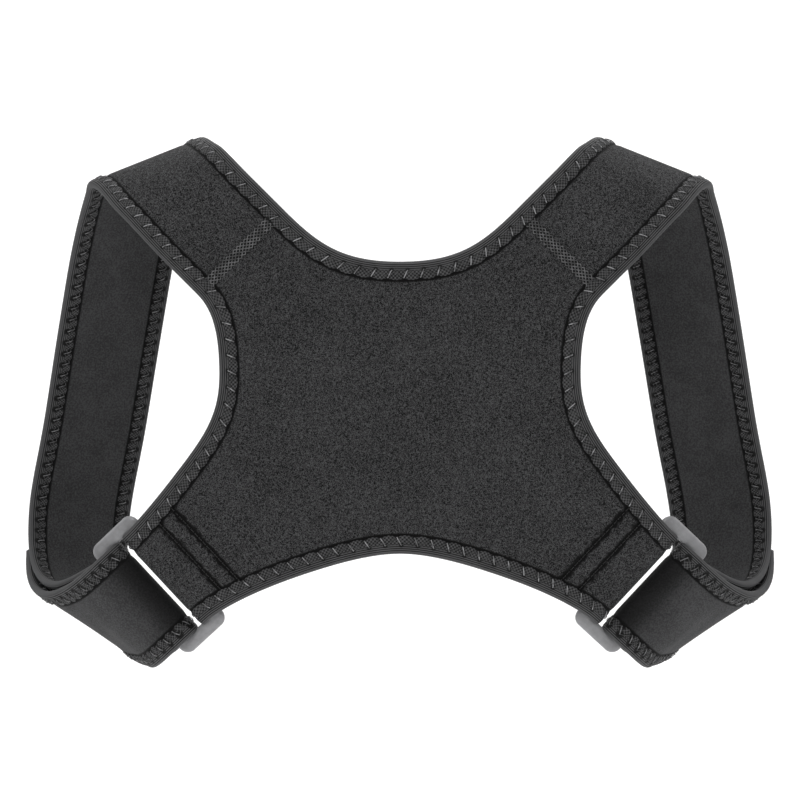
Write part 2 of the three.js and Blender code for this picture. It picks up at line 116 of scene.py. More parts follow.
GAP_SQUEEZE = 0.2    # the tape lies this share flatter in the ring's gap
GAP_SPAN = (5.0, 11.0)  # and swells up again between these distances from it
FOLD_MARK = 2000.0   # the strap's map reads this where it leaves the ring's bar

MM = 0.001
EDGE_INSET = TAPE_WALL + CLEAR            # from the finished edge to the foam
TAPE_HALF = FOAM / 2 + CLEAR + TAPE_WALL  # half thickness over the tape
STRAP_HALF = STRAP_WIDTH / 2
BAR_SWEEP = BAR_THICK / 2 + CLEAR + BAR_WIDTH * sin(radians(RING_TILT))
TAB_WRAP = BAR_SWEEP + TAPE_HALF          # radius of the cloth's middle round each bar
STRAP_WRAP = TAB_WRAP + STRAP_SLACK
TAB_CENTRE = RING_GAP / 2 + TAPE_HALF + TAB_WRAP  # from the gap to that turn's centre
STRAP_CENTRE = RING_GAP / 2 + TAPE_HALF + STRAP_WRAP

# Sections of the strap's middle line between the seam and the ring.
# out: share of SHOULDER_OUT, forward: share of CHEST_DEPTH, height: share of the way
# up from the underarm to the shoulder; yaw and dip turn its width, in degrees
STRAP_SECTIONS = (
    dict(name="rise", out=0.902, forward=0.09, height=0.953, yaw=-2, dip=28.5),
    dict(name="crest", out=1.0, forward=0.275, height=0.996, yaw=2, dip=22),
    dict(name="over", out=1.052, forward=0.46, height=0.97, yaw=12, dip=24),
    dict(name="collar", out=1.103, forward=0.625, height=0.9, yaw=23, dip=17),
    dict(name="chest_top", out=1.16, forward=0.76, height=0.783, yaw=30, dip=5),
    dict(name="chest", out=1.223, forward=0.853, height=0.613, yaw=32, dip=-1),
    dict(name="rib", out=1.289, forward=0.922, height=0.417, yaw=33, dip=-4),
    dict(name="low_rib", out=1.35, forward=0.94, height=0.24, yaw=34, dip=-9),
    dict(name="turn", out=1.347, forward=0.84, height=0.11, yaw=34, dip=-17),
    dict(name="underarm", out=1.297, forward=0.665, height=0.034, yaw=32, dip=-27),
    dict(name="lowest", out=1.19, forward=0.43, height=0.004, yaw=20, dip=-38),
)
STEPS_PER_SECTION = 3
BAR_STEPS = 6         # frames of cloth round a bar
CLOSE_FRAMES = 1.0    # a frame nearer than this to the one before it is dropped


def smooth(value, low, high):
    """0 below low, 1 above high and an even turn between"""
    share = min(1.0, max(0.0, (value - low) / (high - low)))
    return share * share * (3 - 2 * share)


def lerp(a, b, share):
    """The value that lies a share of the way from a to b"""
    return a + (b - a) * share


# Flat layout of the left side, as (x, z) in the panel's plane
SEAM = Vector((-SEAM_OUT, SEAM_UP))
WING_ALONG = Vector((-cos(radians(WING_ANGLE)), sin(radians(WING_ANGLE))))
WING_ACROSS = Vector((sin(radians(WING_ANGLE)), cos(radians(WING_ANGLE))))
GAP_MIDDLE = Vector((-TAB_OUT, -TAB_DOWN))
TAB_IN = Vector((cos(radians(TAB_ANGLE)), sin(radians(TAB_ANGLE))))
TAB_ACROSS = Vector((sin(radians(TAB_ANGLE)), -cos(radians(TAB_ANGLE))))


def tab_spread(run):
    """How far the tab has widened at a distance from the ring's gap, 1 at its bend line"""
    return (max(0.0, run - TAB_CENTRE) / (TAB_BEND - TAB_CENTRE)) ** SPREAD_POWER


def tab_upper(run):
    """Where the tab's upper edge lies, measured across from its middle"""
    return -STRAP_HALF - TAB_SPREAD_UPPER * tab_spread(run)


def tab_lower(run):
    """Where its lower edge lies"""
    return STRAP_HALF + TAB_SPREAD_LOWER * tab_spread(run)


def tab_point(run, across):
    """A flat point by its distance from the ring's gap and from the tab's middle"""
    return GAP_MIDDLE + TAB_IN * run + TAB_ACROSS * across


def tab_run(point):
    """A flat point's distance from the ring's gap, along the tab"""
    return (point - GAP_MIDDLE).dot(TAB_IN)


def drape(point, outward=0.0):
    """Places a flat point in space: the lower corners curve forward past their bend line"""
    past = max(0.0, TAB_BEND - tab_run(point))
    turn = past / TAB_RADIUS
    along = point + TAB_IN * (past - TAB_RADIUS * sin(turn))
    normal = Vector((-TAB_IN.x * sin(turn), -cos(turn), -TAB_IN.y * sin(turn)))
    return Vector((along.x, TAB_RADIUS * (1 - cos(turn)), along.y)) + normal * outward


def bezier(start, leave, arrive, end, steps):
    """Points along the curve from start to end that leave and arrive pull"""
    points = []
    for i in range(steps + 1):
        t = i / steps
        u = 1 - t
        points.append(start * u**3 + leave * (3 * u * u * t) + arrive * (3 * u * t * t) + end * t**3)
    return points


def neck_edge(steps):
    """The neck curve, from the left seam to the middle"""
    at_seam, at_middle = NECK_HANDLES
    start = SEAM + WING_ACROSS * STRAP_HALF
    return bezier(start, start + WING_ALONG * at_seam * start.x, Vector((at_middle * start.x, NECK_UP)),
                  Vector((0, NECK_UP)), steps)


def arm_edge(steps):
    """The armhole's edge, from the seam over the waist to the tab's bend line"""
    at_seam, above_waist, below_waist, at_bend = ARM_HANDLES
    start = SEAM - WING_ACROSS * STRAP_HALF
    waist = Vector((-WAIST_HALF, 0))
    bend = tab_point(TAB_BEND, tab_upper(TAB_BEND))
    beyond = tab_point(TAB_BEND + 1, tab_upper(TAB_BEND + 1)) - bend
    upper = bezier(start, start - WING_ALONG * at_seam * start.y,
                   Vector((-WAIST_HALF, above_waist * start.y)), waist, steps)
    lower = bezier(waist, Vector((-WAIST_HALF, below_waist * bend.y)),
                   bend - beyond * at_bend * bend.y, bend, steps)
    return upper + lower[1:]


def hem_edge(steps):
    """The lower curve, from the middle to the tab's bend line"""
    at_middle, at_bend = HEM_HANDLES
    end = tab_point(TAB_BEND, tab_lower(TAB_BEND))
    beyond = tab_point(TAB_BEND + 1, tab_lower(TAB_BEND + 1)) - end
    return bezier(Vector((0, -HEM_DOWN)), Vector((at_middle * end.x, -HEM_DOWN)),
                  end - beyond * at_bend * end.x, end, steps)


# Ring frame: across along the bars, inward to the panel, outward to the viewer's side
TAB_TURN = (TAB_BEND - TAB_CENTRE) / TAB_RADIUS
RING_ACROSS = Vector((TAB_ACROSS.x, 0, TAB_ACROSS.y))
TAB_INWARD = Vector((TAB_IN.x * cos(TAB_TURN), -sin(TAB_TURN), TAB_IN.y * cos(TAB_TURN)))
TAB_OUTWARD = RING_ACROSS.cross(TAB_INWARD)
TAB_BAR = drape(tab_point(TAB_CENTRE, 0), -TAB_WRAP)
TILT = Quaternion(RING_ACROSS, -radians(RING_TILT))
RING_INWARD = TILT @ TAB_INWARD
RING_OUTWARD = TILT @ TAB_OUTWARD
STRAP_BAR = TAB_BAR - RING_INWARD * (TAB_CENTRE + STRAP_CENTRE)
RING_GAP_LINE = TAB_BAR - RING_INWARD * TAB_CENTRE


def round_bar(centre, inward, outward, radius, angle, facing):
    """A frame of the cloth at an angle round a bar; facing turns its outer face in or out"""
    away = inward * sin(angle) - outward * cos(angle)
    return centre + away * radius, RING_ACROSS.copy(), away * facing


def tab_frames():
    """The tab's fold: from its outer face round the bar and back along the body side"""
    frames = [round_bar(TAB_BAR, -TAB_INWARD, TAB_OUTWARD, TAB_WRAP, pi * (1 - i / BAR_STEPS), 1)
              for i in range(BAR_STEPS + 1)]
    closed = 2 * TAPE_HALF + CLEAR
    for past, behind in ((TAB_BAR_WIDTH, 2 * TAB_WRAP), (TAB_FLAT_FROM, closed), (TAB_RETURN, closed)):
        at = tab_point(TAB_CENTRE + past, 0)
        frames.append((drape(at, -behind), RING_ACROSS.copy(), drape(at) - drape(at, 1)))
    return frames


def even_spline(points, share):
    """A smooth line through points that are evenly spaced in share"""
    last = len(points) - 1
    place = share * last
    i = min(int(place), last - 1)
    w = place - i
    here, then = points[i], points[i + 1]
    before = points[i - 1] if i else here * 2 - then
    after = points[i + 2] if i + 2 <= last else then * 2 - here
    leave, arrive = (then - before) * 0.5, (after - here) * 0.5
    return (here * (2 * w**3 - 3 * w * w + 1) + leave * (w**3 - 2 * w * w + w)
            + then * (3 * w * w - 2 * w**3) + arrive * (w**3 - w * w))


def strap_frames():
    """Frames from the seam to the tip, as inner, wrap and folded"""
    lean = radians(WRAP_LEAN)
    wrap = [round_bar(STRAP_BAR, RING_INWARD, RING_OUTWARD, STRAP_WRAP, lerp(lean, pi, i / BAR_STEPS), -1)
            for i in range(BAR_STEPS + 1)]
    start = wrap[0][0]
    entry = start - (Quaternion(RING_ACROSS, lean) @ RING_INWARD) * ENTRY_RUN
    wing_across = Vector((WING_ACROSS.x, 0, WING_ACROSS.y))
    centres, widths = [], []
    for run in (CLEAR, WING_RUN / 2, WING_RUN):
        at = SEAM + WING_ALONG * run
        centres.append(Vector((at.x, 0, at.y)))
        widths.append(wing_across)
    for row in STRAP_SECTIONS:
        up = row["height"] * (SHOULDER_UP + UNDERARM_DOWN) - UNDERARM_DOWN
        yaw, dip = radians(row["yaw"]), radians(row["dip"])
        centres.append(Vector((-row["out"] * SHOULDER_OUT, row["forward"] * CHEST_DEPTH, up)))
        widths.append(Vector((cos(dip) * cos(yaw), cos(dip) * sin(yaw), sin(dip))))
    centres += [entry, start]
    widths += [RING_ACROSS, RING_ACROSS]
    steps = (len(centres) - 1) * STEPS_PER_SECTION
    inner = []
    for i in range(steps):
        share = i / steps
        nearby = 1e-4
        along = even_spline(centres, min(1, share + nearby)) - even_spline(centres, max(0, share - nearby))
        along.normalize()
        width = even_spline(widths, share).normalized()
        slant = along.dot(width)
        inner.append((even_spline(centres, share), width / sqrt(1 - slant * slant),
                      width.cross(along).normalized()))
    return inner, wrap, folded_frames(inner, wrap)


def folded_frames(inner, wrap):
    """The folded end lies over the strap's outer face, further off near the ring"""
    closed, wide = 2 * TAPE_HALF + CLEAR, FOAM + FOLDED_GAP
    last = wrap[-1]
    previous = last[0] - RING_INWARD * BAR_WIDTH
    frames = [(previous, RING_ACROSS.copy(), last[2])]
    length = BAR_WIDTH
    for point, across, outward in reversed(inner[1:]):
        from_bar = (point - STRAP_BAR).length
        if length >= FOLDED_LENGTH:
            break
        if from_bar < ENTRY_RUN + BAR_WIDTH:
            continue
        settle = smooth(length, SETTLE_FROM, SETTLE_TO)
        leave = 1 - smooth(from_bar, BAR_WIDTH, LEAVE_RUN)
        tip = TIP_SINK * smooth(length, FOLDED_LENGTH - TIP_RUN[0], FOLDED_LENGTH - TIP_RUN[1])
        place = point + outward * (lerp(wide, closed, settle) + leave * (2 * STRAP_WRAP - wide) - tip)
        length += (place - previous).length
        previous = place
        frames.append((place, across, -outward))
    return frames


STRAP_INNER, STRAP_WRAPPED, STRAP_FOLDED = strap_frames()
STRAP_FRAMES = STRAP_INNER + STRAP_WRAPPED + STRAP_FOLDED
TAB_FRAMES = tab_frames()


def mirror(vector):
    """The same place or direction on the wearer's other side"""
    return Vector((-vector.x, vector.y, vector.z))


def mirror_frames(frames):
    return [tuple(mirror(v) for v in item) for item in frames]


class Ribbon:
    """A smooth run of cloth through frames, measured by length and by stitches"""

    def __init__(self, frames, fine=8):
        kept = [frames[0]]
        for item in frames[1:]:
            if (item[0] - kept[-1][0]).length > CLOSE_FRAMES:
                kept.append(item)
        gaps = [(b[0] - a[0]).length for a, b in zip(kept, kept[1:])]
        self.rows = []
        for i, gap in enumerate(gaps):
            for k in range(fine + (i == len(gaps) - 1)):
                self.rows.append([self.between(kept, gaps, i, k / fine, part) for part in range(3)])
        self.length, self.phase = [0.0], [0.0]
        for a, b in zip(self.rows, self.rows[1:]):
            step = (b[0] - a[0]).length
            stitch = FRONT_STITCH if b[0].y > FRONT_FROM else BACK_STITCH
            self.length.append(self.length[-1] + step)
            self.phase.append(self.phase[-1] + step / stitch)

    @staticmethod
    def between(kept, gaps, i, w, part):
        """One part of the frame that lies a share w past frame i"""
        def slope(n):
            if n == 0:
                return (kept[1][part] - kept[0][part]) / gaps[0]
            if n == len(gaps):
                return (kept[n][part] - kept[n - 1][part]) / gaps[-1]
            before = (kept[n][part] - kept[n - 1][part]) / gaps[n - 1]
            after = (kept[n + 1][part] - kept[n][part]) / gaps[n]
            return (before * gaps[n] + after * gaps[n - 1]) / (gaps[n - 1] + gaps[n])
        here, then, gap = kept[i][part], kept[i + 1][part], gaps[i]
        return (here * (2 * w**3 - 3 * w * w + 1) + slope(i) * gap * (w**3 - 2 * w * w + w)
                + then * (3 * w * w - 2 * w**3) + slope(i + 1) * gap * (w**3 - w * w))

    def at(self, value, measure):
        """The point, across and outward at a length or at a count of stitches"""
        i = min(max(0, bisect_right(measure, value) - 1), len(measure) - 2)
        w = (value - measure[i]) / (measure[i + 1] - measure[i])
        return [a.lerp(b, w) for a, b in zip(self.rows[i], self.rows[i + 1])]

    def spot(self, value, across, out, measure):
        """The place at a distance across and out from the cloth's middle"""
        point, width, outward = self.at(value, measure)
        return point + width * across + outward.normalized() * out


def to_part(point):
    """From the panel's frame in millimetres to the part's frame in metres"""
    return Vector((point.x, point.y - SADDLE_FORWARD, point.z - SHOULDER_UP)) * MM


def grid(bm, columns, rows, place, uv=None, material=0):
    """A grid whose shares (u, v) go through place; uv gives the cloth's own coordinates"""
    made = bmesh.ops.create_grid(bm, x_segments=columns, y_segments=rows, size=1.0)["verts"]
    shares = {v: ((v.co.x + 1) / 2, (v.co.y + 1) / 2) for v in made}
    for face in {f for v in made for f in v.link_faces}:
        face.smooth = True
        face.material_index = material
        if uv:
            layer = bm.loops.layers.uv.verify()
            for loop in face.loops:
                loop[layer].uv = uv(*shares[loop.vert])
    for v, (a, b) in shares.items():
        v.co = place(a, b)
    return made


def mirror_copy(bm):
    """Adds the other side's copy, with its faces turned to point out"""
    copy = bmesh.ops.duplicate(bm, geom=bm.verts[:] + bm.edges[:] + bm.faces[:])["geom"]
    for v in (g for g in copy if isinstance(g, bmesh.types.BMVert)):
        v.co.x = -v.co.x
    bmesh.ops.reverse_faces(bm, faces=[g for g in copy if isinstance(g, bmesh.types.BMFace)])


def piece(name, bm, materials):
    """Makes the part's own object of a finished mesh"""
    mesh = bpy.data.meshes.new(name)
    bm.to_mesh(mesh)
    bm.free()
    for material in materials:
        mesh.materials.append(material)
    thing = bpy.data.objects.new(name, mesh)
    bpy.context.collection.objects.link(thing)
    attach(thing, "root")
    return thing


class Wire:
    """One value in a shader, which adds and multiplies like a number"""

    def __init__(self, shader, socket):
        self.shader, self.socket = shader, socket

    def _maths(self, operation, *values):
        return self.shader.node("ShaderNodeMath", {"operation": operation}, dict(enumerate(values)))

    def __add__(self, other):
        return self._maths("ADD", self, other)

    __radd__ = __add__

    def __sub__(self, other):
        return self._maths("SUBTRACT", self, other)

    def __rsub__(self, other):
        return self._maths("SUBTRACT", other, self)

    def __mul__(self, other):
        return self._maths("MULTIPLY", self, other)

    __rmul__ = __mul__

    def sine(self):
        return self._maths("SINE", self)

    def size(self):
        return self._maths("ABSOLUTE", self)

    def fraction(self):
        return self._maths("FRACT", self)

    def at_most(self, limit):
        return self._maths("MINIMUM", self, limit)

    def root(self):
        return self._maths("SQRT", self)

    def ramp(self, low, high):
        """0 below low, 1 above high"""
        return self.shader.node("ShaderNodeMapRange", {"interpolation_type": "SMOOTHSTEP"},
                                {"Value": self, "From Min": low, "From Max": high})


class Shader:
    """A material's nodes"""

    def __init__(self, name, **constants):
        self.material = bpy.data.materials.new(name)
        self.material.use_nodes = True
        self.tree = self.material.node_tree
        self.surface = self.tree.nodes["Principled BSDF"]
        for socket, value in constants.items():
            self.surface.inputs[socket.replace("_", " ")].default_value = value

    def node(self, kind, settings=None, inputs=None, out=0):
        made = self.tree.nodes.new(kind)
        for key, value in (settings or {}).items():
            setattr(made, key, value)
        for key, value in (inputs or {}).items():
            self.feed(made.inputs[key], value)
        return Wire(self, made.outputs[out])

    def feed(self, socket, value):
        if isinstance(value, Wire):
            self.tree.links.new(value.socket, socket)
        else:
            socket.default_value = value

    def place(self):
        """Where a point lies on its object, in metres"""
        return self.node("ShaderNodeTexCoord", out="Object")

    def map_value(self, axis):
        """One axis of the cloth's own map"""
        parts = self.tree.nodes.new("ShaderNodeSeparateXYZ")
        self.tree.links.new(self.tree.nodes.new("ShaderNodeUVMap").outputs["UV"], parts.inputs["Vector"])
        return Wire(self, parts.outputs[axis])

    def noise(self, where, scale, detail=2.0, distortion=0.0):
        return self.node("ShaderNodeTexNoise", None,
                         {"Vector": where, "Scale": scale, "Detail": detail, "Distortion": distortion})

    def blend(self, share, a, b):
        """The colour that lies a share of the way from a to b"""
        mix = self.tree.nodes.new("ShaderNodeMix")
        mix.data_type = "RGBA"
        colour_a, colour_b, mixed_colour = 6, 7, 2
        self.feed(mix.inputs["Factor"], share)
        self.feed(mix.inputs[colour_a], a)
        self.feed(mix.inputs[colour_b], b)
        return Wire(self, mix.outputs[mixed_colour])

    def bump(self, height, strength, distance):
        return self.node("ShaderNodeBump", None,
                         {"Height": height, "Strength": strength, "Distance": distance})


def grey(level):
    """A display grey from 0 to 255 as a linear colour, slightly blue as black cloth is"""
    value = level / 255
    value = value / 12.92 if value < 0.04045 else ((value + 0.055) / 1.055) ** 2.4
    blue = 1.03
    return value, value, value * blue, 1.0


def tape_shadow(s):
    """0 in the seam where the foam meets its tape, 1 elsewhere"""
    from_edge = s.map_value("Y")
    return (from_edge - (TAPE_REACH + SCALLOP)).size().ramp(0.45, 1.5)


def fleece_material():
    """Brushed loop cloth: short pale fibres over a dark ground"""
    s = Shader("brushed fleece", Roughness=0.95, Sheen_Weight=0.03, Specular_IOR_Level=0.2)
    where = s.place()
    fibres = s.noise(where, scale=1250.0, detail=2.0, distortion=1.6)
    fluff = s.noise(where, scale=2300.0, detail=1.0, distortion=0.5)
    cloud = s.noise(where, scale=45.0, detail=3.0)
    tone = (fibres * 0.6 + fluff * 0.4 + (cloud - 0.5) * 0.05).ramp(0.42, 0.61)
    run = s.map_value("X")
    wander = (s.noise(where, scale=300.0, detail=1.0) - 0.5) * 4.0
    first, second = TAB_ROWS
    rows = (run - first + wander).size().ramp(1.0, 2.6) * (run - second + wander).size().ramp(1.0, 2.6)
    cloth = s.blend(tone, grey(8), grey(86))
    # Painted shade: near black in the seam where the foam meets its tape and in the grooves of the tab's
    # two rows of stitches
    painted_shade = grey(10)
    s.feed(s.surface.inputs["Base Color"], s.blend(tape_shadow(s) * rows, painted_shade, cloth))
    s.feed(s.surface.inputs["Normal"], s.bump(fibres * 0.7 + fluff * 0.3, 0.8, 0.0007))
    return s.material


def lining_material():
    """Smooth dense knit with painted shade where it comes out of the ring's bar and in the seam at its
    tape; paler beyond the bar
    """
    s = Shader("smooth lining", Roughness=0.9, Sheen_Weight=0.02, Specular_IOR_Level=0.2)
    where = s.place()
    mottle = s.noise(where, scale=70.0, detail=4.0, distortion=0.4)
    grain = s.noise(where, scale=1100.0, detail=2.0)
    tone = (mottle * 0.25 + grain * 0.75).ramp(0.35, 0.65)
    cloth = s.blend(tone, grey(46), grey(67))
    run = s.map_value("X")
    cloth = s.blend((run - FOLD_MARK).ramp(6.0, 24.0), cloth, s.blend(tone, grey(52), grey(74)))
    # Painted shade: near black where the strap wraps the ring's bar and comes out of it, and in the seam
    # at its tape
    bar_shade = (run - FOLD_MARK).ramp(-4.0, 9.0) * 0.8 + (FOLD_MARK - 14 - run).ramp(0.0, 6.0) + 0.2
    painted_shade = grey(9)
    s.feed(s.surface.inputs["Base Color"],
           s.blend(tape_shadow(s) * bar_shade.at_most(1.0), painted_shade, cloth))
    s.feed(s.surface.inputs["Normal"], s.bump(grain, 0.5, 0.0003))
    return s.material


def tape_material():
    """Ribbed elastic tape; its map counts stitches along and millimetres across from the fold"""
    s = Shader("elastic tape", Roughness=0.7, Specular_IOR_Level=0.3)
    stitch, across = s.map_value("X"), s.map_value("Y")
    far = across.size()
    along = stitch * BACK_STITCH
    weave = 2 * pi / HATCH_PITCH
    hatch = (((along + across) * weave).sine() + ((along - across) * weave).sine()) * 0.25 + 0.5
    face = far.ramp(0.5, 1.4)
    rib = (far * (2 * pi / RIB_PITCH)).sine() * 0.5 + 0.5
    ribbed = 1 - far.ramp(4.2, 5.6)
    hatch = hatch * (1 - ribbed) + rib * ribbed
    light = s.noise(s.place(), scale=130.0, detail=3.0)
    tone = hatch * 0.8 + (light - 0.5) * 0.4
    cloth = s.blend(tone.ramp(0.05, 0.8), grey(2), grey(86))
    # Painted highlight: the folded edge, where face is low, is a plain paler grey
    cloth = s.blend(face, grey(74), cloth)
    near, deep = ZIGZAG
    row_a = ((stitch + 0.5).fraction() - 0.5) * BACK_STITCH
    row_b = ((stitch + (0.5 - SLOW_STROKE + 1)).fraction() - 0.5) * BACK_STITCH
    hole_a = (row_a * row_a + (far - near) * (far - near)).root()
    hole_b = (row_b * row_b + (far - deep) * (far - deep)).root()
    # Painted shade: the needle holes are near black, partly real holes and partly the shadow of the tape's
    # swell beside them, drawn wider on the lining side
    lining_side = (0 - across).ramp(0.0, 1.0) * 1.1
    whole = (hole_a - lining_side).ramp(0.6, 1.5) * (hole_b - lining_side).ramp(0.6, 1.5)
    hole = grey(8)
    s.feed(s.surface.inputs["Base Color"], s.blend(whole, hole, cloth))
    height = hatch * face * 0.4 + hole_a.ramp(0.3, 1.6) * hole_b.ramp(0.3, 1.6)
    s.feed(s.surface.inputs["Normal"], s.bump(height, 0.9, 0.0006))
    return s.material


def thread_material(name, level):
    """Spun thread with painted highlight: paler in patches and darker between them"""
    s = Shader(name, Roughness=0.55, Sheen_Weight=0.2)
    highlight_patches = s.noise(s.place(), scale=420.0, detail=1.0)
    s.feed(s.surface.inputs["Base Color"], s.blend(highlight_patches.ramp(0.4, 0.62), grey(level * 0.6), grey(level)))
    return s.material


def plain_material(name, level, roughness, spread=4):
    """One grey that varies a little over the surface"""
    s = Shader(name, Roughness=roughness)
    tone = s.noise(s.place(), scale=260.0, detail=3.0).ramp(0.3, 0.7)
    s.feed(s.surface.inputs["Base Color"], s.blend(tone, grey(level - spread), grey(level + spread)))
    return s.material


FLEECE = fleece_material()
LINING = lining_material()
TAPE = tape_material()
# One thread in several copies: quick zigzag strokes pale for painted highlight, returning strokes dark for
# painted shade
LIT_ZIGZAG_THREAD = thread_material("lit zigzag thread", 156)
LIT_LINING_THREAD = thread_material("lit lining side thread", 120)
SHADED_RETURN_THREAD = thread_material("shaded returning thread", 54)
DARK_THREAD = thread_material("dark thread", 8)
SEAM_THREAD = thread_material("seam thread", 104)
PLASTIC = plain_material("satin plastic", 142, 0.28, 6)
HOOK = plain_material("hook tape", 34, 0.9)
# A near-black sheet under the flatlock's threads: painted shade
SEAM_SHADE_SHEET = plain_material("seam shade sheet", 16, 0.95)


def foam_face(from_edge):
    """Height of the foam's face over its middle: pressed under the tape, full inside it"""
    return FOAM / 2 + PUFF * smooth(from_edge, TAPE_REACH - PUFF_START, TAPE_REACH + PUFF_RISE)


def strap_piece(side_name, flip):
    """One strap: brushed outer face, smooth lining"""
    ribbon = Ribbon(STRAP_FRAMES)
    half = STRAP_HALF - EDGE_INSET
    length = ribbon.length[-1]
    turn_at = Ribbon(STRAP_INNER + STRAP_WRAPPED).length[-1]
    bm = bmesh.new()
    row_step = 2.6
    columns, rows = 26, int(length / row_step)

    def edge_map(u, v):
        return FOLD_MARK + v * length - turn_at, STRAP_HALF - abs(lerp(-half, half, u))

    for sign, material in ((1, 0), (-1, 1)):
        def place(u, v, sign=sign):
            across = lerp(-half, half, u)
            return to_part(ribbon.spot(v * length, across, sign * foam_face(STRAP_HALF - abs(across)),
                                       ribbon.length))
        made = grid(bm, columns, rows, place, edge_map, material)
        if sign > 0:
            bmesh.ops.reverse_faces(bm, faces=list({f for v in made for f in v.link_faces}))
    bmesh.ops.bridge_loops(bm, edges=[e for e in bm.edges if e.is_boundary])
    bmesh.ops.recalc_face_normals(bm, faces=bm.faces[:])
    if flip:
        bmesh.ops.scale(bm, vec=(-1, 1, 1), verts=bm.verts[:])
        bmesh.ops.reverse_faces(bm, faces=bm.faces[:])
    name = f"visual_strap_{side_name}"
    strap = piece(name, bm, [FLEECE, LINING])
    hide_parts(f"shoulder_strap_{side_name}")
    return strap


def resample(points, count):
    """The same line in count even steps"""
    lengths = [0.0]
    for a, b in zip(points, points[1:]):
        lengths.append(lengths[-1] + (b - a).length)
    even = []
    for k in range(count + 1):
        value = lengths[-1] * k / count
        i = min(max(0, bisect_right(lengths, value) - 1), len(points) - 2)
        even.append(points[i].lerp(points[i + 1], (value - lengths[i]) / (lengths[i + 1] - lengths[i])))
    return even


def inset(points, side):
    """The foam's edge, inside the finished one"""
    moved = []
    for i, point in enumerate(points):
        along = (points[min(i + 1, len(points) - 1)] - points[max(0, i - 1)]).normalized()
        moved.append(point + Vector((-along.y, along.x)) * (side * EDGE_INSET))
    return moved


def panel_piece():
    """The back panel: a soft sheet of foam whose lower corners fold round the rings"""
    corner_steps = 16
    corner = [lerp(TAB_BEND, TAB_CENTRE, (i + 1) / corner_steps) for i in range(corner_steps)]
    neck = neck_edge(40)
    arm = arm_edge(24) + [tab_point(run, tab_upper(run)) for run in corner]
    hem = hem_edge(32) + [tab_point(run, tab_lower(run)) for run in corner]
    finished = [neck, arm, hem]
    foam_neck, foam_arm, foam_hem = inset(neck, -1), inset(arm, 1), inset(hem, -1)
    for end in (foam_neck[0], foam_arm[0]):
        end -= WING_ALONG * (end - SEAM).dot(WING_ALONG)
    columns, tab_rows, arm_rows, seam_rows, fold_rows = 84, 16, 44, 16, 24
    joined, middle_half, middle_joined = 0.0003, 2e-4, 5e-5
    bottom = resample(foam_hem[::-1], columns)
    top = resample(foam_neck, columns)
    tab_end = [foam_hem[-1].lerp(foam_arm[-1], i / tab_rows) for i in range(tab_rows)]
    seam = [foam_arm[0].lerp(foam_neck[0], i / seam_rows) for i in range(1, seam_rows + 1)]
    left = tab_end + resample(foam_arm[::-1], arm_rows) + seam
    rows = len(left) - 1

    def flat_point(u, v):
        """A point of the sheet between its four edges"""
        i, j = round(u * columns), round(v * rows)
        centre = bottom[-1].lerp(top[-1], v)
        ruled = bottom[i].lerp(top[i], v) + left[j].lerp(centre, u)
        corners = bottom[0].lerp(top[0], v).lerp(bottom[-1].lerp(top[-1], v), u)
        return ruled - corners

    def from_edge(point):
        """Distance to the nearest finished edge"""
        best = float("inf")
        for line in finished:
            for a, b in zip(line, line[1:]):
                step = b - a
                share = min(1.0, max(0.0, (point - a).dot(step) / step.length_squared))
                best = min(best, (point - a - step * share).length)
        return best

    def face_height(point, sign):
        height = foam_face(from_edge(point))
        if sign > 0:
            run = tab_run(point)
            for row in TAB_ROWS:
                height -= ROW_DEPTH * exp(-((run - row) / ROW_HALF) ** 2)
        return sign * height

    fold = Ribbon(TAB_FRAMES)
    half = STRAP_HALF - EDGE_INSET
    bm = bmesh.new()
    for sign, material in ((1, 0), (-1, 1)):
        def place(u, v, sign=sign):
            point = flat_point(u, v)
            return to_part(drape(point, face_height(point, sign)))

        def place_fold(u, v, sign=sign):
            across = lerp(-half, half, u)
            out = sign * foam_face(STRAP_HALF - abs(across))
            return to_part(fold.spot(v * fold.length[-1], across, out, fold.length))

        def edge_map(u, v):
            point = flat_point(u, v)
            return tab_run(point), from_edge(point)

        def fold_map(u, v):
            return -v * fold.length[-1], STRAP_HALF - abs(lerp(-half, half, u))

        first = grid(bm, columns, rows, place, edge_map, material)
        second = grid(bm, tab_rows, fold_rows, place_fold, fold_map, material)
        bmesh.ops.remove_doubles(bm, verts=first + second, dist=joined)
    mirror_copy(bm)
    middle = [v for v in bm.verts if abs(v.co.x) < middle_half]
    for v in middle:
        v.co.x = 0
    bmesh.ops.remove_doubles(bm, verts=middle, dist=middle_joined)
    bmesh.ops.bridge_loops(bm, edges=[e for e in bm.edges if e.is_boundary])
    bmesh.ops.recalc_face_normals(bm, faces=bm.faces[:])
    panel = piece("visual_panel", bm, [FLEECE, LINING])
    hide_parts("back_panel")


def edge_frames(frames, side):
    """The tape's frames along one edge of a band"""
    return [(point + across * (side * STRAP_HALF), across * -side, outward)
            for point, across, outward in frames]


def panel_edge_frames(points, side):
    """The tape's frames along one of the panel's edges"""
    frames = []
    for i, point in enumerate(points):
        along = (points[min(i + 1, len(points) - 1)] - points[max(0, i - 1)]).normalized()
        inward = Vector((-along.y, along.x)) * side
        place = drape(point)
        frames.append((place, drape(point + inward) - place, drape(point, 1) - place))
    return frames


# Where the tape's frames lie between the tab's bend line and its ring
CORNER_STEPS = 6
CORNER_RUNS = [lerp(TAB_BEND, TAB_CENTRE, (i + 1) / CORNER_STEPS) for i in range(CORNER_STEPS)]


def neck_tape():
    """From one folded end over the shoulder, round the neck and to the other folded end"""
    left = edge_frames(STRAP_FRAMES, 1)[::-1] + panel_edge_frames(neck_edge(12), -1)
    return left + mirror_frames(left[:-1])[::-1]


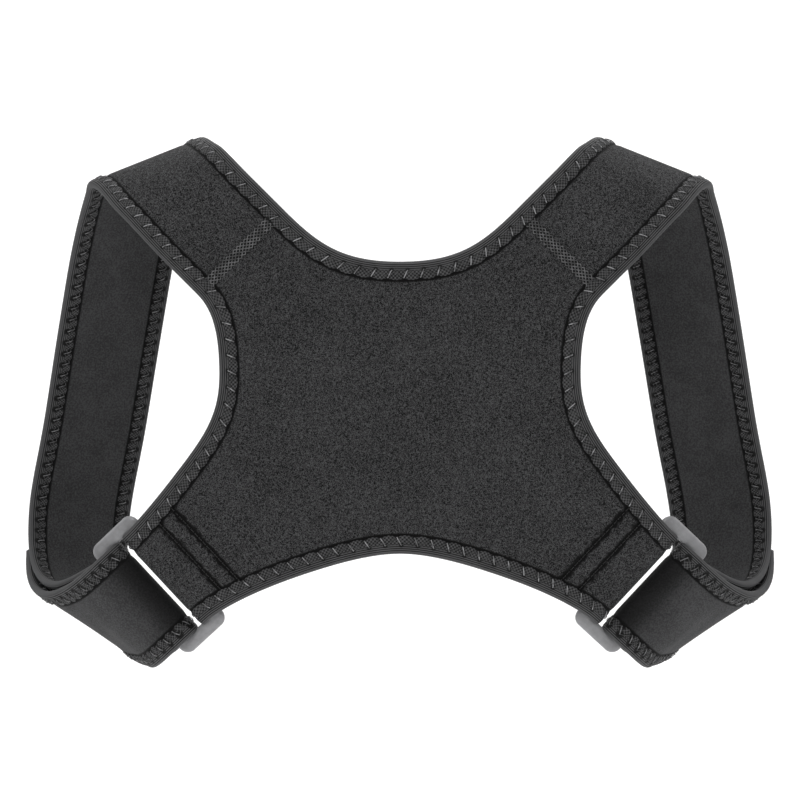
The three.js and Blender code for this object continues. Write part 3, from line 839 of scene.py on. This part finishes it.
def arm_tape():
    """From the tab's fold up the armhole and along the strap to its folded end"""
    tab = edge_frames(TAB_FRAMES[1:], -1)[::-1]
    points = arm_edge(8) + [tab_point(run, tab_upper(run)) for run in CORNER_RUNS]
    return tab + panel_edge_frames(points, 1)[::-1] + edge_frames(STRAP_FRAMES, -1)


def hem_tape():
    """From one tab's fold along the lower curve to the other's"""
    tab = edge_frames(TAB_FRAMES[1:], 1)[::-1]
    points = hem_edge(9) + [tab_point(run, tab_lower(run)) for run in CORNER_RUNS]
    left = tab + panel_edge_frames(points, -1)[::-1]
    return left + mirror_frames(left[:-1])[::-1]


# The tape's outer profile on one face: across from the fold, and height over the middle
TAPE_PROFILE = ((0.0, 0.0), (0.12, 0.75), (0.5, 1.4), (1.2, 1.95), (2.2, 2.25), (3.4, 2.36), (4.6, 2.3),
                (5.7, 2.42), (6.8, 2.42), (7.8, 2.36), (8.7, 2.22), (9.2, 2.0), (9.5, 1.62))


def tape_height(across, stitch):
    """The tape's height over the middle, with its swell between two stitches"""
    for (a, low), (b, high) in zip(TAPE_PROFILE, TAPE_PROFILE[1:]):
        if across <= b:
            height = lerp(low, high, (across - a) / (b - a))
            break
    else:
        height = TAPE_PROFILE[-1][1]
    near, deep = ZIGZAG
    inner_row = smooth(across, near - 2, deep - 1)
    outer_row = smooth(across, near - 3, near) * (1 - inner_row)
    inner_wave, outer_wave = cos(2 * pi * (stitch - SLOW_STROKE + 0.5)), cos(2 * pi * stitch)
    return height + TAPE_PUFF * (inner_row * inner_wave - outer_row * outer_wave)


def squeezed(point):
    """The share of its height that the tape keeps: less where it passes the ring's gap"""
    away = Vector((-abs(point.x), point.y, point.z)) - RING_GAP_LINE
    if away.length > STRAP_WIDTH:
        return 1.0
    return 1 - GAP_SQUEEZE * (1 - smooth(abs(away.dot(RING_INWARD)), *GAP_SPAN))


def tape_piece(name, node, frames, flip=False):
    """Fold-over tape with its zigzag stitches on both faces"""
    ribbon = Ribbon(frames)
    stitches = ribbon.phase[-1]
    profile = [(a, -h) for a, h in reversed(TAPE_PROFILE)] + [(a, h) for a, h in TAPE_PROFILE[1:]]
    last = len(profile) - 1
    rows_per_stitch, level_at, scallop_from = 6, 0.25, 8

    def place(u, v):
        i = min(round(u * last), last)
        across, height = profile[i]
        stitch = v * stitches
        swell = tape_height(across, stitch) - tape_height(across, level_at)
        wave = cos(2 * pi * (stitch - SLOW_STROKE + 0.5))
        across += SCALLOP * smooth(across, scallop_from, TAPE_REACH) * wave
        out = height + (swell if height >= 0 else -swell)
        out *= squeezed(ribbon.at(stitch, ribbon.phase)[0])
        return to_part(ribbon.spot(stitch, across, out, ribbon.phase))

    def uv(u, v):
        across, height = profile[min(round(u * last), last)]
        return v * stitches, across if height >= 0 else -across

    bm = bmesh.new()
    grid(bm, last, int(stitches * rows_per_stitch), place, uv)
    point, width, outward = ribbon.at(stitches / 2, ribbon.phase)
    bm.faces.ensure_lookup_table()
    fold = min(bm.faces, key=lambda f: (f.calc_center_median() - to_part(point)).length)
    if fold.normal.dot(-width) < 0:
        bmesh.ops.reverse_faces(bm, faces=bm.faces[:])
    if flip:
        bmesh.ops.scale(bm, vec=(-1, 1, 1), verts=bm.verts[:])
        bmesh.ops.reverse_faces(bm, faces=bm.faces[:])
    tape = piece(name, bm, [TAPE])
    wall = tape.modifiers.new("wall", "SOLIDIFY")
    wall.thickness = TAPE_CLOTH * MM
    wall.offset = -1
    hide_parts(node)
    zigzag_piece(f"{name}_zigzag", ribbon, flip)
    return tape


def strand(bm, spots, radius, material=0):
    """A round thread through spots"""
    sides, steps = 5, len(spots) - 1

    def place(u, v):
        i = min(round(v * steps), steps)
        along = (spots[min(i + 1, steps)] - spots[max(0, i - 1)]).normalized()
        side = along.orthogonal().normalized()
        turn = 2 * pi * u
        return spots[i] + (side * cos(turn) + along.cross(side) * sin(turn)) * radius
    made = grid(bm, sides, steps, place, material=material)
    bmesh.ops.remove_doubles(bm, verts=made, dist=radius * 0.2)


# A stroke of thread from hole to hole: share of its run, and rise over the tape
STROKE = ((0.0, -0.2), (0.2, 0.32), (0.5, 0.42), (0.8, 0.32), (1.0, -0.2))


def zigzag_piece(name, ribbon, flip):
    """The zigzag on both faces of a tape, by turns: tight strokes in pale lit copies of the thread for
    painted highlight, and slack ones in a dark copy for painted shade
    """
    bm = bmesh.new()
    near, deep = ZIGZAG
    count = int(ribbon.phase[-1] * 2) - 1
    outer_thread, shaded_slack_thread, lining_thread = range(3)
    for sign in (1, -1):
        for k in range(count):
            quick = k % 2
            from_a, to_a = (deep, near) if quick else (near, deep)
            start, end = (k // 2 + SLOW_STROKE, k // 2 + 1) if quick else (k // 2, k // 2 + SLOW_STROKE)
            spots = []
            for share, rise in STROKE:
                stitch = lerp(start, end, share)
                across = lerp(from_a, to_a, share)
                kept = squeezed(ribbon.at(stitch, ribbon.phase)[0])
                out = sign * (tape_height(across, stitch) + rise) * kept
                spots.append(to_part(ribbon.spot(stitch, across, out, ribbon.phase)))
            # Quick strokes take a lit copy of the thread (painted highlight), returning strokes the dark
            # copy (painted shade)
            if quick:
                strand(bm, spots, QUICK_THREAD * MM, outer_thread if sign > 0 else lining_thread)
            else:
                strand(bm, spots, SLOW_THREAD * MM, shaded_slack_thread)
    if flip:
        bmesh.ops.scale(bm, vec=(-1, 1, 1), verts=bm.verts[:])
    bmesh.ops.recalc_face_normals(bm, faces=bm.faces[:])
    piece(name, bm, [LIT_ZIGZAG_THREAD, SHADED_RETURN_THREAD, LIT_LINING_THREAD])


def corner_line(half_length, low, high, radius):
    """A rounded rectangle's line: eight points at each corner and six along each side"""
    middles = ((half_length - radius, low + radius, -90), (half_length - radius, high - radius, 0),
               (radius - half_length, high - radius, 90), (radius - half_length, low + radius, 180))
    corners = []
    for x, y, start in middles:
        turns = [radians(start + 90 * k / 7) for k in range(8)]
        corners.append([(x + radius * cos(turn), y + radius * sin(turn)) for turn in turns])
    line = []
    for k, corner in enumerate(corners):
        line += corner
        (x0, y0), (x1, y1) = corner[-1], corners[(k + 1) % 4][0]
        line += [(lerp(x0, x1, i / 7), lerp(y0, y1, i / 7)) for i in range(1, 7)]
    return line + line[:1]


def rounded(value, power):
    """A sine or cosine that bends a circle towards a square, for a power under 1"""
    return abs(value) ** power * (1 if value > 0 else -1)


def ring_piece(side_name, flip):
    """The loop ring: rounded bars, a little wider at its ends than the cloth's window"""
    reach = (TAB_CENTRE + STRAP_CENTRE - BAR_THICK) / 2
    half_length = STRAP_HALF + RING_SIDE_CLEAR + RING_END
    outer = corner_line(half_length, -reach - BAR_WIDTH, reach + TAB_BAR_WIDTH, RING_CORNER)
    inner = corner_line(half_length - RING_END - RING_GRIP, -reach, reach, WINDOW_CORNER)
    centre = (TAB_BAR + STRAP_BAR) / 2
    steps = len(outer) - 1
    width_power, depth_power = RING_ROUNDING

    def place(u, v):
        i = round(v * steps)
        turn = 2 * pi * u
        share = (1 + rounded(cos(turn), width_power)) / 2
        height = rounded(sin(turn), depth_power) * BAR_THICK / 2
        along, up = (lerp(a, b, share) for a, b in zip(inner[i], outer[i]))
        return to_part(centre + RING_ACROSS * along + RING_INWARD * up + RING_OUTWARD * height)

    bm = bmesh.new()
    made = grid(bm, 20, steps, place)
    bmesh.ops.remove_doubles(bm, verts=made, dist=1e-5)
    if flip:
        bmesh.ops.scale(bm, vec=(-1, 1, 1), verts=bm.verts[:])
    bmesh.ops.recalc_face_normals(bm, faces=bm.faces[:])
    ring = piece(f"visual_ring_{side_name}", bm, [PLASTIC])
    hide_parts(f"ring_{side_name}")


def seam_piece():
    """Flatlock seams between panel and straps: crossed threads over a near-black sheet of painted shade"""
    bm = bmesh.new()
    half = STRAP_HALF - TAPE_REACH + 0.6
    top = FOAM / 2 + PUFF

    def spot(run, across, out):
        at = SEAM + WING_ALONG * run + WING_ACROSS * across
        return to_part(Vector((at.x, -out, at.y)))

    # A near-black sheet under the threads: painted shade in the gaps between them
    shade_sheet_half, shade_sheet_rise = 3.1, 0.06
    grid(bm, 2, 20, lambda u, v: spot(lerp(shade_sheet_half, -shade_sheet_half, u), lerp(-half, half, v),
                                      top + shade_sheet_rise), material=1)
    pitch, column, thread_rise, arch, radius = 2.6, 2.0, 0.12, 0.34, 0.26
    for low in (-3.0, -1.0, 1.0):
        for first, second in ((low, low + column), (low + column, low)):
            for k in range(int(2 * half / pitch)):
                start = -half + k * pitch
                spots = [spot(lerp(first, second, t), lerp(start, start + pitch, t),
                              top + thread_rise + arch * sin(pi * t)) for t in (0, 0.33, 0.66, 1)]
                strand(bm, spots, radius * MM)
    mirror_copy(bm)
    piece("flatlock_seams", bm, [SEAM_THREAD, SEAM_SHADE_SHEET])


def tab_stitches_piece():
    """The two rows of stitches that close each tab's fold"""
    bm = bmesh.new()
    pitch, run_length, sink, radius = 3.0, 2.1, 0.72, 0.28
    for row in TAB_ROWS:
        across = tab_upper(row) + TAPE_REACH - 3
        while across < tab_lower(row) - TAPE_REACH + 1:
            spots = []
            for share, rise in ((0.0, -0.25), (0.3, 0.2), (0.7, 0.2), (1.0, -0.25)):
                at = tab_point(row, across + share * run_length)
                spots.append(to_part(drape(at, FOAM / 2 + PUFF - sink + rise)))
            strand(bm, spots, radius * MM)
            across += pitch
    mirror_copy(bm)
    piece("tab_stitches", bm, [DARK_THREAD])


for side, turned in (("left", False), ("right", True)):
    strap_piece(side, turned)
    tape_piece(f"arm_tape_{side}", f"arm_binding_{side}", arm_tape(), turned)
    ring_piece(side, turned)
panel_piece()
tape_piece("neck_tape", "neck_binding", neck_tape())
tape_piece("hem_tape", "hem_binding", hem_tape())
seam_piece()
tab_stitches_piece()

# The hook patches keep their solids
for name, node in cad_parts.items():
    if name.startswith("hook"):
        node.data.materials.clear()
        node.data.materials.append(HOOK)


# Lamps: place and size in metres, power in watts; each looks at the part's middle
LAMPS = (
    dict(name="key", place=(-0.35, -1.9, 0.9), size=0.8, power=13.0),
    dict(name="left", place=(-1.5, -0.3, 0.5), size=0.7, power=5.0),
    dict(name="right", place=(1.5, -0.3, 0.5), size=0.7, power=5.0),
    dict(name="top", place=(0.0, 0.1, 1.4), size=1.2, power=8.0),
    dict(name="wall", place=(0.0, 0.6, 0.9), size=2.0, power=10.0),
)
PART_MIDDLE = Vector((0, 0, -0.13))
DAYLIGHT = 0.24        # strength of the light from all round
PAPER_GLOW = 0.3       # keeps the sweep white behind dark cloth
FLOOR_HEIGHT = -1.0    # the sweep, in metres
FLOOR_RUN = 8.0
WALL_BACK = 1.5
WALL_BEND = 0.7
SWEEP_LENGTH = 13.0
SWEEP_HALF = 8
SWEEP_ROWS = 240


def sweep_point(u, v):
    """The floor runs back, bends up and becomes the wall"""
    length = v * SWEEP_LENGTH
    if length < FLOOR_RUN:
        y, z = WALL_BACK - WALL_BEND - FLOOR_RUN + length, FLOOR_HEIGHT
    elif length < FLOOR_RUN + WALL_BEND * pi / 2:
        turn = (length - FLOOR_RUN) / WALL_BEND
        y, z = WALL_BACK - WALL_BEND + WALL_BEND * sin(turn), FLOOR_HEIGHT + WALL_BEND * (1 - cos(turn))
    else:
        y, z = WALL_BACK, FLOOR_HEIGHT + WALL_BEND + length - FLOOR_RUN - WALL_BEND * pi / 2
    return Vector((lerp(-SWEEP_HALF, SWEEP_HALF, u), y, z))


def studio():
    """A pale sweep behind and below, with broad soft lamps"""
    bm = bmesh.new()
    grid(bm, 2, SWEEP_ROWS, sweep_point)
    mesh = bpy.data.meshes.new("sweep")
    bm.to_mesh(mesh)
    bm.free()
    paper = Shader("pale paper", Roughness=0.9, Base_Color=(0.93, 0.93, 0.93, 1),
                   Emission_Color=(1, 1, 1, 1), Emission_Strength=PAPER_GLOW)
    mesh.materials.append(paper.material)
    sweep = bpy.data.objects.new("sweep", mesh)
    bpy.context.collection.objects.link(sweep)
    for row in LAMPS:
        light = bpy.data.lights.new(row["name"], "AREA")
        light.size, light.energy = row["size"], row["power"]
        lamp = bpy.data.objects.new(row["name"], light)
        lamp.location = row["place"]
        aim = PART_MIDDLE - Vector(row["place"])
        lamp.rotation_euler = aim.to_track_quat("-Z", "Y").to_euler()
        bpy.context.collection.objects.link(lamp)
    world = bpy.data.worlds.new("studio")
    world.use_nodes = True
    sky = world.node_tree.nodes["Background"].inputs
    sky["Color"].default_value = (1, 1, 1, 1)
    sky["Strength"].default_value = DAYLIGHT
    bpy.context.scene.world = world


studio()

# The camera stands level and square to the panel
lens = bpy.data.cameras.new("camera")
lens.sensor_width = 36.0
lens.lens = 95.2
camera = bpy.data.objects.new("camera", lens)
camera.location = (0.0, -1.132, -0.128)
camera.rotation_euler = (pi / 2, 0, 0)
bpy.context.collection.objects.link(camera)
bpy.context.scene.camera = camera
bpy.context.scene.view_settings.view_transform = "Standard"
